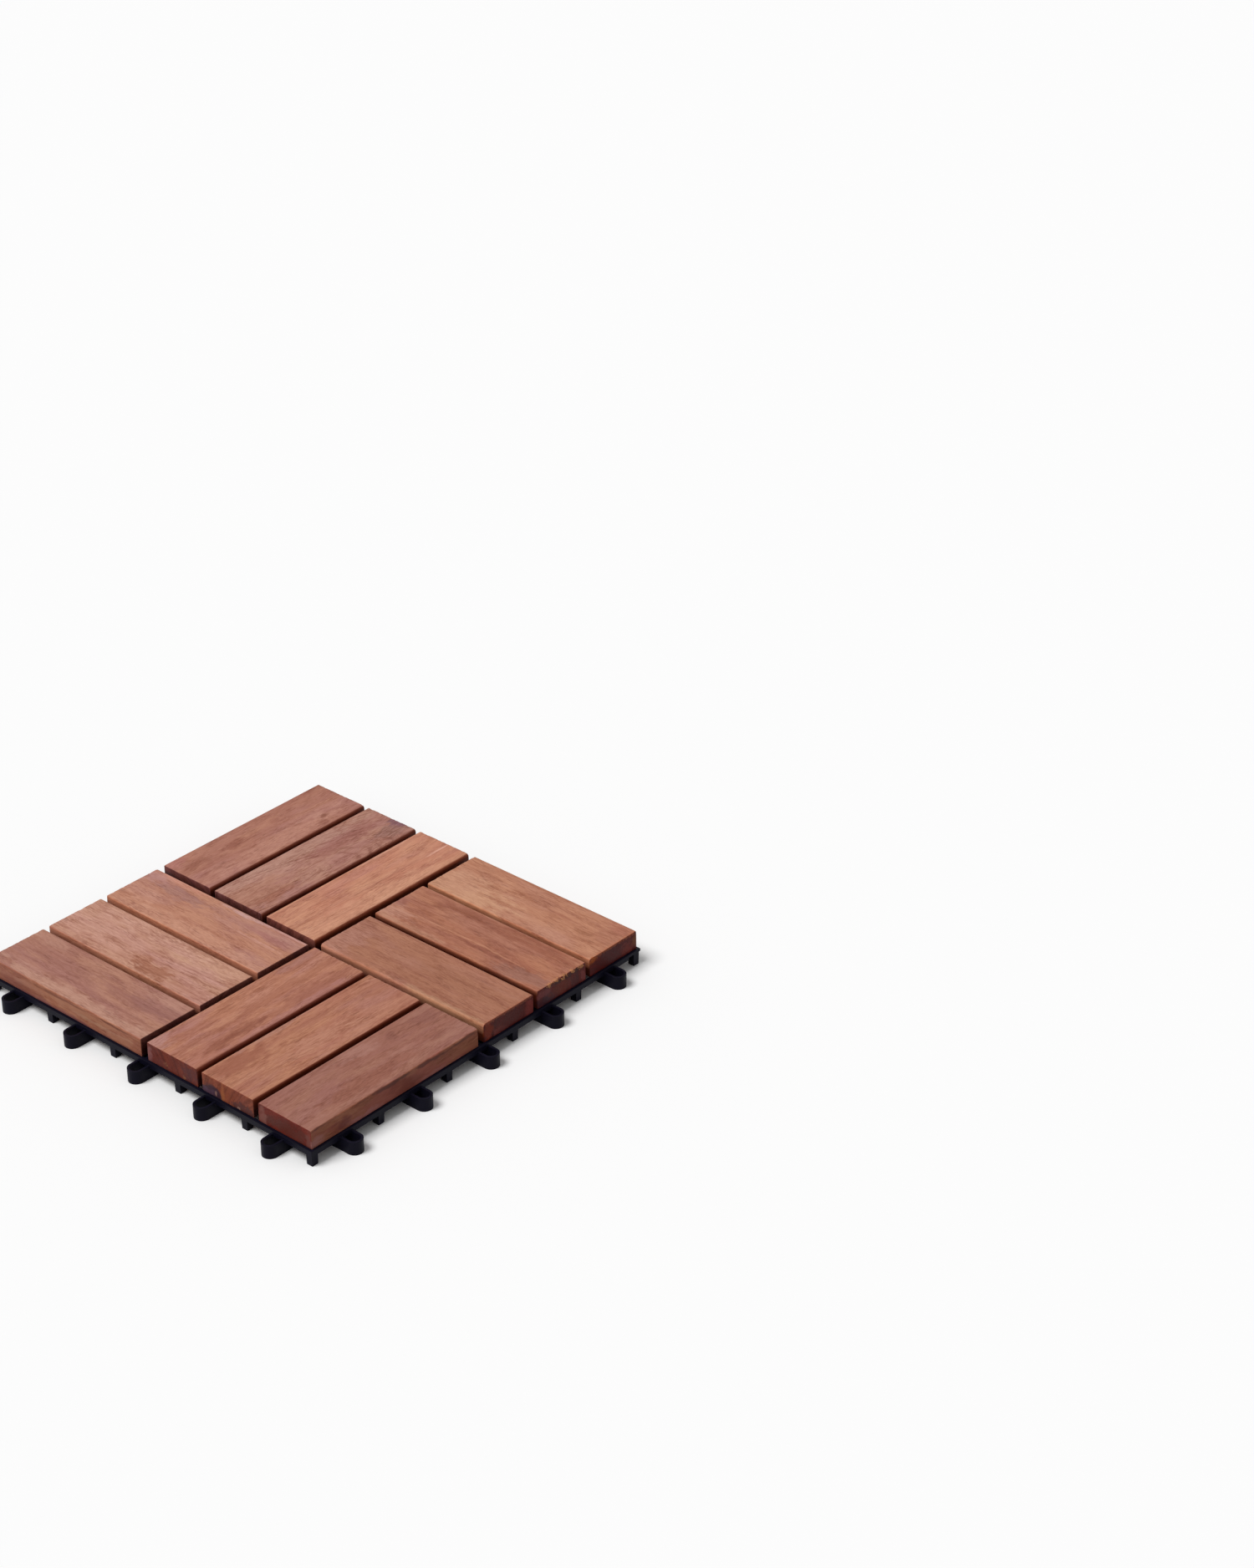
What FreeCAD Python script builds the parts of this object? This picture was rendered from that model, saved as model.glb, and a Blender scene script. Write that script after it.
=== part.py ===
import FreeCAD, Part
import math
import os

# Sizes of the whole tile
# All in millimetres. The floor is z = 0 and the grid's centre is the origin.
# The loops stand out of the -X and -Y sides, the studs are on the +X and +Y sides.
tile_pitch = 300.0            # spacing at which two joined tiles repeat
joint_gap = 1.0               # gap left between the rails of two joined tiles
base_height = 11.5            # floor to the underside of the slats
slat_thickness = 13.5
rail_half = (tile_pitch - joint_gap) / 2.0

# Slats, in four quarters that are each turned by 90 degrees from the last
quarter_names = ["back", "left", "front", "right"]
slat_places = ["inner", "middle", "outer"]
slat_inset = 1.5              # rail standing out past the wood
quarter_gap = 5.0             # gap between the four quarters
slat_gap = 3.75               # gap between the slats of one quarter
edge_round = 1.8              # rounding of a slat's long edges
end_chamfer = 0.5             # broken edge along the top of a slat's sawn ends

# Moulded grid
cells = 10                    # cells along a tile, so cells + 1 rows of legs
rib_width = 2.0
rib_height = 3.8              # also the rail's height on the loop sides
rail_width = 2.4
rail_height_stud = 1.9        # the rail's height on the stud sides
leg_width = 5.2               # square legs, at the top
leg_draft = 0.2               # taper of each side of a leg over its height
leg_recess = 0.6              # leg set back from the rail's outer face

# Connecting loops
pass_clearance = 0.2          # under the neighbour's rail, which passes over the loops
loop_height = base_height - rail_height_stud - pass_clearance
loop_half_width = 5.6
loop_wall = 1.6
loop_reach = 12.0             # rail's outer face to the loop's tip
loop_root = 12.4              # length of the arms under the tile
mate_clearance = 0.4          # between a loop and the neighbour's stud and ribs

# Connecting studs
stud_play = 1.5               # at each side of a stud inside a loop
stud_width = 2.0 * (loop_half_width - loop_wall - stud_play)

# Screws and their bosses
screw_radius = 1.9
head_radius = 3.7
head_height = 2.4
head_rounding = 1.1
wood_over_screw = 4.0         # wood left between a screw's tip and the deck face
tip_length = 2.5
tip_radius = 0.3
cross_length = 4.4
cross_width = 1.0
cross_depth = 1.3
head_clearance = 0.4          # around the head in its recess
shank_clearance = 0.25        # around the shank in the boss
boss_wall = 1.1               # around the recess
boss_web = 4.0                # plastic held under the screw head
leg_clearance = 1.4           # a leg nearer than this to a boss is left out
head_recess_radius = head_radius + head_clearance
clear_hole_radius = screw_radius + shank_clearance
boss_radius = head_recess_radius + boss_wall
head_seat = base_height - boss_web
screw_top = base_height + slat_thickness - wood_over_screw

# Worked-out positions
slat_count = len(slat_places)
slat_half_span = rail_half - slat_inset
slat_start = quarter_gap / 2.0
slat_length = slat_half_span - slat_start
slat_width = (slat_length - (slat_count - 1) * slat_gap) / slat_count
slat_centres = [slat_start + slat_width / 2.0 + i * (slat_width + slat_gap) for i in range(slat_count)]
leg_half_span = rail_half - leg_recess - leg_width / 2.0
leg_pitch = tile_pitch / cells
inner_lines = [(i - cells / 2.0) * leg_pitch for i in range(1, cells)]
leg_lines = [-leg_half_span] + inner_lines + [leg_half_span]
rib_bottom = base_height - rib_height
loop_lines = leg_lines[1::2]
screw_rows = [leg_pitch, (cells / 2.0 - 1.0) * leg_pitch]
loop_tip_inner = rail_half + loop_reach - loop_wall
stud_inner = tile_pitch - loop_tip_inner + mate_clearance
stud_outer = rail_half - leg_recess
pocket_inner = tile_pitch - (rail_half + loop_reach) - mate_clearance
boss_to_leg = boss_radius + leg_width / 2.0 + leg_clearance
overshoot = 1.0               # a cutting solid's run past what it cuts


# Helpers
def box(x0, y0, z0, x1, y1, z1):
    return Part.makeBox(x1 - x0, y1 - y0, z1 - z0, FreeCAD.Vector(x0, y0, z0))


def cylinder(radius, x, y, z0, z1):
    return Part.makeCylinder(radius, z1 - z0, FreeCAD.Vector(x, y, z0))


def rectangle(x0, y0, x1, y1, z):
    corners = [(x0, y0), (x1, y0), (x1, y1), (x0, y1), (x0, y0)]
    return Part.makePolygon([FreeCAD.Vector(x, y, z) for x, y in corners])


def quarter_turn(shape, turns):
    turned = shape.copy()
    turned.rotate(FreeCAD.Vector(0, 0, 0), FreeCAD.Vector(0, 0, 1), 90.0 * turns)
    return turned


def leg(x, y):
    # A square post, drafted so that it is wider at the top than at the floor
    top_half = leg_width / 2.0
    rings = []
    for z, half in [(0.0, top_half - leg_draft), (base_height, top_half)]:
        signs = [(-1, -1), (1, -1), (1, 1), (-1, 1)]
        rings.append([FreeCAD.Vector(x + sx * half, y + sy * half, z) for sx, sy in signs])
    low, high = rings
    faces = [Part.Face(Part.makePolygon(ring + ring[:1])) for ring in rings]
    for i in range(4):
        j = (i + 1) % 4
        faces.append(Part.Face(Part.makePolygon([low[i], low[j], high[j], high[i], low[i]])))
    return Part.makeSolid(Part.makeShell(faces))


def rounded_tongue(x_root, x_tip, half_width, z0, z1):
    # A straight tongue along -X whose free end is a half round
    x_round = x_tip + half_width
    straight = box(x_round, -half_width, z0, x_root, half_width, z1)
    return straight.fuse(cylinder(half_width, x_round, 0.0, z0, z1))


def loop(y):
    # Outside the rail: a thin band bent to a half round. Under the tile: two arms and a back wall
    x_face = -rail_half
    x_back = x_face + loop_root
    x_tip = x_face - loop_reach
    inner = loop_half_width - loop_wall
    band = rounded_tongue(x_face, x_tip, loop_half_width, 0.0, loop_height)
    root = box(x_face, -loop_half_width, 0.0, x_back, loop_half_width, base_height)
    opening = rounded_tongue(x_face, x_tip + loop_wall, inner, 0.0, loop_height)
    hollow = box(x_face, -inner, 0.0, x_back - loop_wall, inner, base_height)
    shape = band.fuse(root).cut(opening).cut(hollow)
    shape.translate(FreeCAD.Vector(0, y, 0))
    return shape


def stud(y):
    # An upright with both ends rounded, which a neighbour's loop closes around
    radius = stud_width / 2.0
    x0 = stud_inner + radius
    x1 = stud_outer - radius
    body = box(x0, y - radius, 0.0, x1, y + radius, base_height)
    return body.fuse([cylinder(radius, x, y, 0.0, base_height) for x in (x0, x1)])


def screw_points():
    # Two screws on each slat's centre line, turned round the four quarters
    points = []
    for turns in range(len(quarter_names)):
        angle = math.radians(90.0 * turns)
        for row in screw_rows:
            for centre in slat_centres:
                x = row * math.cos(angle) - centre * math.sin(angle)
                y = row * math.sin(angle) + centre * math.cos(angle)
                points.append((x, y))
    return points


# Moulded base grid
def make_base_grid():
    screws = screw_points()
    rail_inner = rail_half - rail_width
    rib_sides = [c + side * rib_width / 2.0 for c in leg_lines[1:-1] for side in (-1, 1)]
    edges = [-rail_inner] + rib_sides + [rail_inner]
    spans = [(edges[i], edges[i + 1]) for i in range(0, len(edges), 2)]
    outline = rectangle(-rail_half, -rail_half, rail_half, rail_half, rib_bottom)
    holes = [rectangle(a, d, b, c, rib_bottom) for a, b in spans for c, d in spans]
    grid = Part.Face([outline] + holes).extrude(FreeCAD.Vector(0, 0, rib_height))

    # The border bays on the stud sides are shallow, so that a neighbour's loops pass under them
    shallow = base_height - rail_height_stud
    low = rib_bottom - overshoot
    reach = rail_half + overshoot
    strip_x = box(pocket_inner, -reach, low, reach, reach, shallow)
    strip_y = box(-reach, pocket_inner, low, reach, reach, shallow)
    grid = grid.cut([strip_x, strip_y])

    adds = []
    for i, x in enumerate(leg_lines):
        for j, y in enumerate(leg_lines):
            odd_x = i % 2 == 1
            odd_y = j % 2 == 1
            on_loop_side = (i == 0 and odd_y) or (j == 0 and odd_x)
            on_stud_side = (i == cells and odd_y) or (j == cells and odd_x)
            near_screw = any(math.hypot(x - px, y - py) < boss_to_leg for px, py in screws)
            if not (on_loop_side or on_stud_side or near_screw):
                adds.append(leg(x, y))
    for y in loop_lines:
        adds.append(loop(y))
        adds.append(quarter_turn(loop(-y), 1))
        adds.append(stud(y))
        adds.append(quarter_turn(stud(-y), 1))
    for x, y in screws:
        adds.append(cylinder(boss_radius, x, y, 0.0, base_height))
    grid = grid.fuse(adds)

    cuts = []
    for x, y in screws:
        cuts.append(cylinder(head_recess_radius, x, y, -overshoot, head_seat))
        cuts.append(cylinder(clear_hole_radius, x, y, 0.0, base_height + overshoot))
    return grid.cut(cuts).removeSplitter()


# One slat lying along X, its start end at the tile's centre cross
def make_slat(index):
    y0 = slat_start + index * (slat_width + slat_gap)
    z0 = base_height
    z1 = base_height + slat_thickness
    slat = box(slat_start, y0, z0, slat_half_span, y0 + slat_width, z1)
    long_edges = [e for e in slat.Edges if e.BoundBox.XLength > slat_length / 2.0]
    slat = slat.makeFillet(edge_round, long_edges)
    end_edges = []
    for e in slat.Edges:
        across = e.BoundBox.YLength > slat_width / 2.0
        if across and e.BoundBox.ZMin > z0 + slat_thickness / 2.0:
            end_edges.append(e)
    slat = slat.makeChamfer(end_chamfer, end_edges)
    for x in screw_rows:
        slat = slat.cut(cylinder(screw_radius, x, slat_centres[index], z0 - overshoot, screw_top))
    return slat


# One self-tapping screw, driven up from underneath
def make_screw(x, y):
    head_low = head_seat - head_height
    head = cylinder(head_radius, x, y, head_low, head_seat)
    rim = [e for e in head.Edges if e.BoundBox.ZMax < head_seat - head_height / 2.0]
    head = head.makeFillet(head_rounding, rim)
    shank = cylinder(screw_radius, x, y, head_seat, screw_top - tip_length)
    tip = Part.makeCone(screw_radius, tip_radius, tip_length, FreeCAD.Vector(x, y, screw_top - tip_length))
    low = head_low - overshoot
    high = head_low + cross_depth
    half_l = cross_length / 2.0
    half_w = cross_width / 2.0
    cross_x = box(x - half_l, y - half_w, low, x + half_l, y + half_w, high)
    cross_y = box(x - half_w, y - half_l, low, x + half_w, y + half_l, high)
    return head.fuse([shank, tip]).cut([cross_x, cross_y]).removeSplitter()


# Build and write the pieces
os.makedirs("parts", exist_ok=True)
make_base_grid().exportStep("parts/base_grid.step")
for turns, quarter in enumerate(quarter_names):
    for index, place in enumerate(slat_places):
        slat = quarter_turn(make_slat(index), turns)
        slat.exportStep("parts/slat_%s_%s.step" % (quarter, place))
screws = Part.makeCompound([make_screw(x, y) for x, y in screw_points()])
screws.exportStep("parts/slat_screws.step")
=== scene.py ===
import math

import bmesh
import bpy
from mathutils import Matrix, Vector, noise


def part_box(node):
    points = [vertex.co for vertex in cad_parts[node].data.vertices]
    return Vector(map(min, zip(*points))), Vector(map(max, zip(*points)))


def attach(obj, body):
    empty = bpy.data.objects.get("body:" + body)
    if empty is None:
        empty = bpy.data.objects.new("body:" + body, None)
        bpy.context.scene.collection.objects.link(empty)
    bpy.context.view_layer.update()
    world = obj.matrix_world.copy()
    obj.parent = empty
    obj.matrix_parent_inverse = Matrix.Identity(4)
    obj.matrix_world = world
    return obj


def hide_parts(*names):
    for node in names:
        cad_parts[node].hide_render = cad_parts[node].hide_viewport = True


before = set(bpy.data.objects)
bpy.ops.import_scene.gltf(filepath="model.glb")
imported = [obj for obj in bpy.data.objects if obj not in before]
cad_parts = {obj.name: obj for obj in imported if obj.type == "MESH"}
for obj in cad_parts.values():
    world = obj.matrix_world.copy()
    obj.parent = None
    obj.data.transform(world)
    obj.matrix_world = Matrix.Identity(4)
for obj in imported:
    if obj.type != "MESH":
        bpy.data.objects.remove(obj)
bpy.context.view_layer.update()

# The base grid is one injection moulding: rails, ribs, legs, screw bosses, loops and studs.
# It is black polypropylene, and its shape comes from the frame as it is.
# The mould's spark-eroded steel leaves it satin, with a faint pitted skin and slightly soft edges.
mm = 0.001                      # m
noise_low = 0.3                 # most of a noise texture's values lie from here
noise_high = 0.7                # to here
pit_size = 0.5                  # mm, coarser than the real 0.05 mm, so that it shows
pit_depth = 0.05                # mm
flow_mark_size = 22.0           # mm, cloudy marks where the melt flowed
flow_tones = ("#0B0A17", "#131120")
flow_roughness = (0.38, 0.52)
moulded_radius = 0.35           # mm, soft edges left by the mould


def hex_colour(code):
    """An sRGB hex colour as a linear RGBA tuple."""
    linear = []
    for i in (1, 3, 5):
        value = int(code[i:i + 2], 16) / 255.0
        linear.append(value / 12.92 if value <= 0.04045 else ((value + 0.055) / 1.055) ** 2.4)
    return (*linear, 1.0)


def add_node(tree, kind, inputs, **settings):
    """Adds one node with its settings, and gives each input a value or a link. Returns its outputs.

    Inputs go by name, or by number where names repeat: a Mix node takes colours at 6 and 7 and gives one
    at 2."""
    node = tree.nodes.new("ShaderNode" + kind)
    for name, value in settings.items():
        setattr(node, name, value)
    for name, value in inputs.items():
        if isinstance(value, bpy.types.NodeSocket):
            tree.links.new(value, node.inputs[name])
        else:
            node.inputs[name].default_value = value
    return node.outputs


def new_material(name):
    """An empty node material and its node tree."""
    material = bpy.data.materials.new(name)
    material.use_nodes = True
    material.node_tree.nodes.clear()
    return material, material.node_tree


def moulded_polypropylene():
    """Satin black with a blue cast: cloudy flow marks in its gloss, and fine pits from the mould."""
    material, tree = new_material("black moulded polypropylene")
    place = add_node(tree, "TexCoord", {})["Object"]
    pits = add_node(tree, "TexNoise", {"Vector": place, "Scale": 1.0 / (pit_size * mm),
                                       "Detail": 2.0})["Fac"]
    flow = add_node(tree, "TexNoise", {"Vector": place, "Scale": 1.0 / (flow_mark_size * mm),
                                       "Detail": 3.0})["Fac"]
    gloss = add_node(tree, "MapRange", {"Value": flow, "From Min": noise_low, "From Max": noise_high,
                                        "To Min": flow_roughness[0], "To Max": flow_roughness[1]})["Result"]
    colour = add_node(tree, "Mix", {0: flow, 6: hex_colour(flow_tones[0]), 7: hex_colour(flow_tones[1])},
                      data_type="RGBA")[2]
    edges = add_node(tree, "Bevel", {"Radius": moulded_radius * mm}, samples=4)["Normal"]
    bump = add_node(tree, "Bump", {"Height": pits, "Strength": 0.25, "Distance": pit_depth * mm,
                                   "Normal": edges})["Normal"]
    plastic = add_node(tree, "BsdfPrincipled", {"Base Color": colour, "Roughness": gloss, "Normal": bump,
                                                "IOR": 1.49, "Specular IOR Level": 0.08})["BSDF"]
    add_node(tree, "OutputMaterial", {"Surface": plastic})
    return material


base_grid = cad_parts["base_grid"]
base_grid.material_slots[0].material = moulded_polypropylene()

# The screws are small self-tapping pan heads, driven up through the bosses into the slats.
# They are cold-headed steel with bright zinc plating, slightly milky and uneven.
headed_radius = 0.25            # mm, soft edges left by cold heading
bloom_size = 1.1                # mm, milky clouds in the plating
bloom_depth = 0.05              # mm
bloom_tones = ("#A9A9A4", "#CFCDC4")
bloom_roughness = (0.24, 0.5)


def zinc_plate():
    """Bright metal with milky clouds that change its tone and gloss."""
    material, tree = new_material("zinc-plated steel")
    place = add_node(tree, "TexCoord", {})["Object"]
    bloom = add_node(tree, "TexNoise", {"Vector": place, "Scale": 1.0 / (bloom_size * mm),
                                        "Detail": 4.0})["Fac"]
    colour = add_node(tree, "Mix", {0: bloom, 6: hex_colour(bloom_tones[0]), 7: hex_colour(bloom_tones[1])},
                      data_type="RGBA")[2]
    gloss = add_node(tree, "MapRange", {"Value": bloom, "To Min": bloom_roughness[0],
                                        "To Max": bloom_roughness[1]})["Result"]
    edges = add_node(tree, "Bevel", {"Radius": headed_radius * mm}, samples=4)["Normal"]
    bump = add_node(tree, "Bump", {"Height": bloom, "Strength": 0.2, "Distance": bloom_depth * mm,
                                   "Normal": edges})["Normal"]
    metal = add_node(tree, "BsdfPrincipled", {"Base Color": colour, "Metallic": 1.0, "Roughness": gloss,
                                              "Normal": bump})["BSDF"]
    add_node(tree, "OutputMaterial", {"Surface": metal})
    return material


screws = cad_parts["slat_screws"]
screws.material_slots[0].material = zinc_plate()

# The slats are short offcuts of oiled acacia, planed on four sides and sawn to length.
# Each comes from another board, so each has its own tone, streaks and marks. The long edges are
# rounded by a cutter, the sawn ends are eased by sanding and soak up more oil, so they are darker.
slat_length = 145.5             # mm
slat_width = 46.0               # mm
slat_thickness = 13.5           # mm
half_length = slat_length / 2.0
half_width = slat_width / 2.0
half_thickness = slat_thickness / 2.0
end_round = 0.9                 # mm, sanded off round the sawn ends
under_round = 0.6               # mm, the hidden lower edges
mesh_step = 1.5                 # mm between the cuts that let the surface wander
sharp_angle = 38.0              # degrees at an edge, past which it isn't shaded smooth

# Wear, all in mm: how deep it goes, and how far in from an edge or end it shows
planer_depth = 0.12             # low waves in the upper face
side_depth = 0.2                # low waves in the sides
nick_depth = 0.15               # dents in the upper half of a side
slump_depth = 0.9               # where the cutter ran off along a wavy edge
slump_band = 3.0
saw_depth = 0.2                 # waves of the saw cut
tooth_depth = 0.1               # marks of the saw's teeth
edge_band = 0.8                 # for the sides and the sawn ends
lip_chip = 0.2                  # chips out of a sawn end's upper lip
frayed_chip = 0.3               # the same at the corners of a frayed end
frayed_more = 0.9               # and what they have more near its middle
chip_band = 2.2
chip_lowest = 2.5               # above the slat's mid height

# Splinters on the outer frayed end, in mm from its upper lip, and degrees off upright
splinter_count = 46
splinter_first = -12.0          # across from the slat's middle
splinter_span = 33.0
splinter_inset = 1.5
splinter_under = 1.1
splinter_past = 0.6             # the most that one may stand out past the end
splinter_root = 0.34            # radius
splinter_tip = 0.05             # radius
splinter_half = 0.7             # half the length of the shortest
splinter_half_more = 1.3        # and what the longest has more
splinter_lean = 62.0
splinter_lean_more = 34.0


def smooth(value, low, high):
    """A soft step from 0 at low to 1 at high."""
    t = min(max((value - low) / (high - low), 0.0), 1.0)
    return t * t * (3.0 - 2.0 * t)


def wander(seed, x, y):
    """Smooth noise from 0 to 1."""
    return 0.5 + 0.5 * noise.noise(Vector((x, y, seed * 7.31)))


def plank(bm, inner_round, outer_round):
    """A board along X round the origin: rounded long edges, eased ends, then an even mesh."""
    bmesh.ops.create_cube(bm, size=1.0)
    bmesh.ops.scale(bm, vec=(slat_length, slat_width, slat_thickness), verts=bm.verts)
    for side, level, edge_round in ((-1, 1, inner_round), (1, 1, outer_round), (-1, -1, under_round),
                                    (1, -1, under_round)):
        corner = Vector((0.0, side * half_width, level * half_thickness))
        long_edges = [e for e in bm.edges if all((v.co - corner).yz.length < 0.01 for v in e.verts)]
        bmesh.ops.bevel(bm, geom=long_edges, offset=edge_round, offset_type="OFFSET", segments=6,
                        profile=0.5, affect="EDGES", material=-1, clamp_overlap=True)
    ends = [f for f in bm.faces if abs(f.normal.x) > 0.9]
    end_edges = list(dict.fromkeys(e for f in ends for e in f.edges))   # each once
    bmesh.ops.bevel(bm, geom=end_edges, offset=end_round, offset_type="OFFSET", segments=3,
                    profile=0.5, affect="EDGES", material=-1, clamp_overlap=True)
    for axis, extent in ((2, slat_thickness), (1, slat_width), (0, slat_length)):
        count = round(extent / mesh_step)
        for i in range(1, count):
            place = Vector((0.0, 0.0, 0.0))
            place[axis] = -extent / 2.0 + extent * i / count
            normal = Vector((0.0, 0.0, 0.0))
            normal[axis] = 1.0
            geom = bm.verts[:] + bm.edges[:] + bm.faces[:]
            bmesh.ops.bisect_plane(bm, geom=geom, plane_co=place, plane_no=normal, dist=1e-5)


def wear(bm, seed, wavy_edge, frayed_end):
    """Moves the surface in by fractions of a millimetre: planer waves, worn edges, a rough saw cut.

    wavy_edge and frayed_end are 1 for the outer edge or end, -1 for the inner one and 0 for none.
    In a wander, u, v and w are multiplied by waves per mm, and a number alone picks a stretch of noise."""
    for vert in bm.verts:
        u, v, w = vert.co
        end_side = math.copysign(1.0, u)
        long_side = math.copysign(1.0, v)
        top = smooth(w, half_thickness - 1.0, half_thickness)
        side = smooth(abs(v), half_width - edge_band, half_width)
        end = smooth(abs(u), half_length - edge_band, half_length)
        upper = smooth(w, 0.0, half_thickness)

        drop = planer_depth * top * wander(seed, u * 0.03, v * 0.07)
        inward = side_depth * side * wander(seed + 1, u * 0.045, 9.0 * long_side)
        nick = smooth(wander(seed + 2, u * 0.35, 5.0 * long_side), 0.62, 0.85)
        inward += nick_depth * side * upper * nick
        if wavy_edge * long_side > 0.0:
            lip = upper * smooth(abs(v), half_width - slump_band, half_width)
            wave = wander(seed + 3, u * 0.055, 3.0) + 0.3 * wander(seed + 3, u * 0.3, 8.0)
            slump = slump_depth * lip * smooth(wave, 0.35, 1.05)
            drop += slump
            inward += slump

        back = end * (tooth_depth + saw_depth * wander(seed + 4, v * 0.12, w * 0.2 + 4.0 * end_side))
        back += tooth_depth * end * wander(seed + 5, v * 1.1, w * 1.1 + 7.0 * end_side)
        near_end = smooth(abs(u), half_length - chip_band, half_length - 0.2)
        end_lip = near_end * smooth(w, chip_lowest, half_thickness)
        chip = smooth(wander(seed + 6, v * 0.8, 2.0 * end_side), 0.45, 0.75)
        torn = lip_chip
        if frayed_end * end_side > 0.0:
            torn = frayed_chip + frayed_more * smooth(abs(v + 4.0), half_width, 4.0)
        drop += 0.8 * torn * end_lip * chip
        back += 0.9 * torn * end_lip * chip
        vert.co = Vector((u - end_side * back, v - long_side * inward, w - drop))


def splinters(bm, seed):
    """Torn fibres that stand out of the top lip of the outer end."""
    for i in range(splinter_count):
        v = splinter_first + splinter_span * i / splinter_count
        lift = wander(seed, i * 0.73, 1.0)
        reach = splinter_half + splinter_half_more * wander(seed, i * 1.91, 2.0)
        lean = Matrix.Rotation(math.radians(splinter_lean + splinter_lean_more * lift), 4, "Y")
        middle = (half_length - splinter_inset, v, half_thickness - splinter_under + 0.3 * lift)
        made = bmesh.ops.create_cone(bm, segments=5, radius1=splinter_root, radius2=splinter_tip,
                                     depth=2.0 * reach, cap_ends=True,
                                     matrix=Matrix.Translation(middle) @ lean)
        for vert in made["verts"]:
            vert.co.z = min(vert.co.z, half_thickness)
            vert.co.x = min(vert.co.x, half_length + splinter_past)


def slat_object(slat):
    """Builds one slat inside its solid's box."""
    name = slat["name"]
    low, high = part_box("slat_" + name)
    bm = bmesh.new()
    plank(bm, *slat["rounds"])
    wear(bm, slat["seed"], slat["wavy_edge"], slat["frayed_end"])
    if slat["frayed_end"] > 0:
        splinters(bm, slat["seed"])
    bmesh.ops.recalc_face_normals(bm, faces=bm.faces)
    for face in bm.faces:
        face.smooth = True
    for edge in bm.edges:
        edge.smooth = edge.calc_face_angle(0.0) < math.radians(sharp_angle)
    turn = Matrix.Rotation(math.radians(90.0 * slat["turns"]), 4, "Z")
    place = Matrix.Translation((low + high) / 2.0) @ turn
    bmesh.ops.transform(bm, matrix=place @ Matrix.Scale(mm, 4), verts=bm.verts)
    mesh = bpy.data.meshes.new("wood_" + name)
    bm.to_mesh(mesh)
    bm.free()
    board = bpy.data.objects.new("wood_" + name, mesh)
    bpy.context.scene.collection.objects.link(board)
    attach(board, "root")
    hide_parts("slat_" + name)
    return board


# The grain's sway: waves per mm along, across and up, its size in mm, and how much more it is with curl
sways = (((0.012, 0.03, 0.03), 7.0, 0.0), ((0.07, 0.13, 0.13), 1.6, 5.0))
# Patterns drawn out along the grain: their length and width in mm, and their detail. The fibres and hairs
# are a few times coarser than real ones, so that they show in the render
drawn_patterns = {
    "cloud": (40.0, 12.0, 2.0),
    "haze": (60.0, 15.0, 2.0),
    "blotch": (9.0, 4.0, 3.0),
    "grime": (24.0, 6.0, 3.0),
    "streak": (90.0, 3.0, 2.0),
    "fibre": (9.0, 1.0, 3.0),
    "hair": (3.2, 0.5, 2.0),
    "crumb": (1.2, 1.2, 2.0),
}
ring_spacing = {"ring": 5.0, "fine ring": 1.4}      # mm
pore_length = 6.0               # mm
pore_width = 0.6                # mm, twice the real width, so that it shows in the render
pore_spacing = 1.5              # mm
pore_free = 0.55                # share of the cells that hold no pore
pore_edge = 0.3                 # of a cell, where a pore starts to darken
pore_core = 0.14                # of a cell, where it is darkest
fibre_depth = 0.1               # mm
oiled_roughness = (0.5, 0.64)

# Tones of the face: a pattern, its values where the tone starts and is full, the strength and the tone.
# The fine ones lie over the marks. They have a second strength before the tone, which goes with the slat's
# grain, and a blend at the end
broad_tones = (
    ("cloud", 0.36, 0.64, 0.75, "light"),
    ("haze", 0.46, 0.68, 0.6, "mauve"),
    ("grime", 0.5, 0.72, 0.4, "dark"),
    ("ring", 0.46, 0.7, 0.3, "dark"),
    ("streak", 0.5, 0.3, 0.35, "light"),
)
fine_tones = (
    ("fine ring", 0.45, 0.7, 0.2, 0.5, "#D2BDB4", "MULTIPLY"),
    ("fibre", 0.42, 0.68, 0.36, 0.5, "#D2BCB2", "MULTIPLY"),
    ("hair", 0.42, 0.66, 0.5, 0.2, "#C9B3A8", "MULTIPLY"),
    ("pore", 0.0, 1.0, 0.45, 0.0, "#6E4232", "MIX"),
)
calm_value = 0.35               # of the grime pattern, where the fine tones have
calm_grain = 0.4                # this share of their strength
busy_value = 0.65               # and where they have
busy_grain = 1.2                # this one

# Marks. An outline has the pattern that it strays by, and how far out and in, as a share of the mark's size
outlines = {
    "ragged": ("blotch", -0.5, 0.5),
    "calm": ("blotch", -0.12, 0.12),
    "broken": ("crumb", -1.4, 1.0),
}
mark_edge = 0.9                 # of the mark's size
soft_fade = 0.4                 # of the mark's size, to each side of its edge
crisp_fade = 0.15               # the same for a strong mark
crisp_strength = 0.85           # from which a mark is strong
small_mark = 1.5                # mm, half the height under which an end mark's outline is broken
large_mark = 8.2                # mm, half the height over which it is calm
end_depth = 1.6                 # mm, how deep a mark on a sawn end or a side shows

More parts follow.
